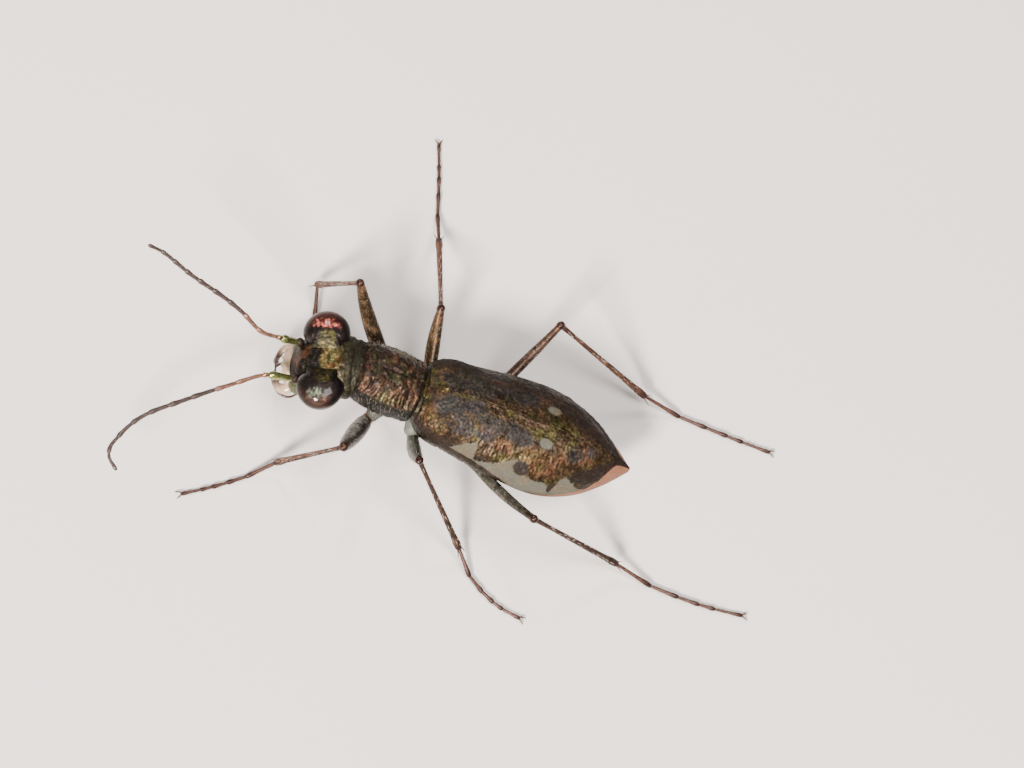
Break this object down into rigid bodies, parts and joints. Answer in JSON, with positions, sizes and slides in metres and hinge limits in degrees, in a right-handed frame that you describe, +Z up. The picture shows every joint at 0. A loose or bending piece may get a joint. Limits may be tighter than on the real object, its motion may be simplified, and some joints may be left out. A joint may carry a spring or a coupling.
{
  "type": "tiger beetle model",
  "caption": "Slender long-legged tiger beetle, standing, with bulging eyes, thread-like feelers and pointed bronze wing cases with pale marks.",
  "frame": {"origin": "centre of the bounding box on the floor that the feet stand on", "axes": "the beetle faces -Y, its left side is +X, +Z is up"},
  "size_m": [0.0152, 0.021, 0.0045],
  "materials": {
    "head_bronze": "metallic bronze-green, finely pitted",
    "eye_brown": "dark red-brown, glossy",
    "labrum_ivory": "pale ivory, semi-gloss",
    "mandible_brown": "dark brown horn",
    "elytra_bronze": "granular bronze-brown with pale grey-ivory marks and blue-black spots",
    "thorax_bronze": "coppery bronze, wrinkled",
    "belly_green": "dark metallic green",
    "leg_bronze": "olive bronze and coppery brown with pale bristles",
    "antenna_brown": "dull brown, bronze at the base"
  },
  "bodies": {
    "root": {"head": "head_bronze", "eye_left": "eye_brown", "eye_right": "eye_brown", "labrum": "labrum_ivory", "mandible_left": "mandible_brown", "mandible_right": "mandible_brown", "palp_left": "mandible_brown", "palp_right": "mandible_brown", "antenna_left": "antenna_brown", "antenna_right": "antenna_brown", "prothorax": "thorax_bronze", "thorax": "belly_green", "abdomen": "belly_green", "elytron_left": "elytra_bronze", "elytron_right": "elytra_bronze", "leg_front_left": "leg_bronze", "leg_front_right": "leg_bronze", "leg_middle_left": "leg_bronze", "leg_middle_right": "leg_bronze", "leg_hind_left": "leg_bronze", "leg_hind_right": "leg_bronze"}
  },
  "joints": []
}
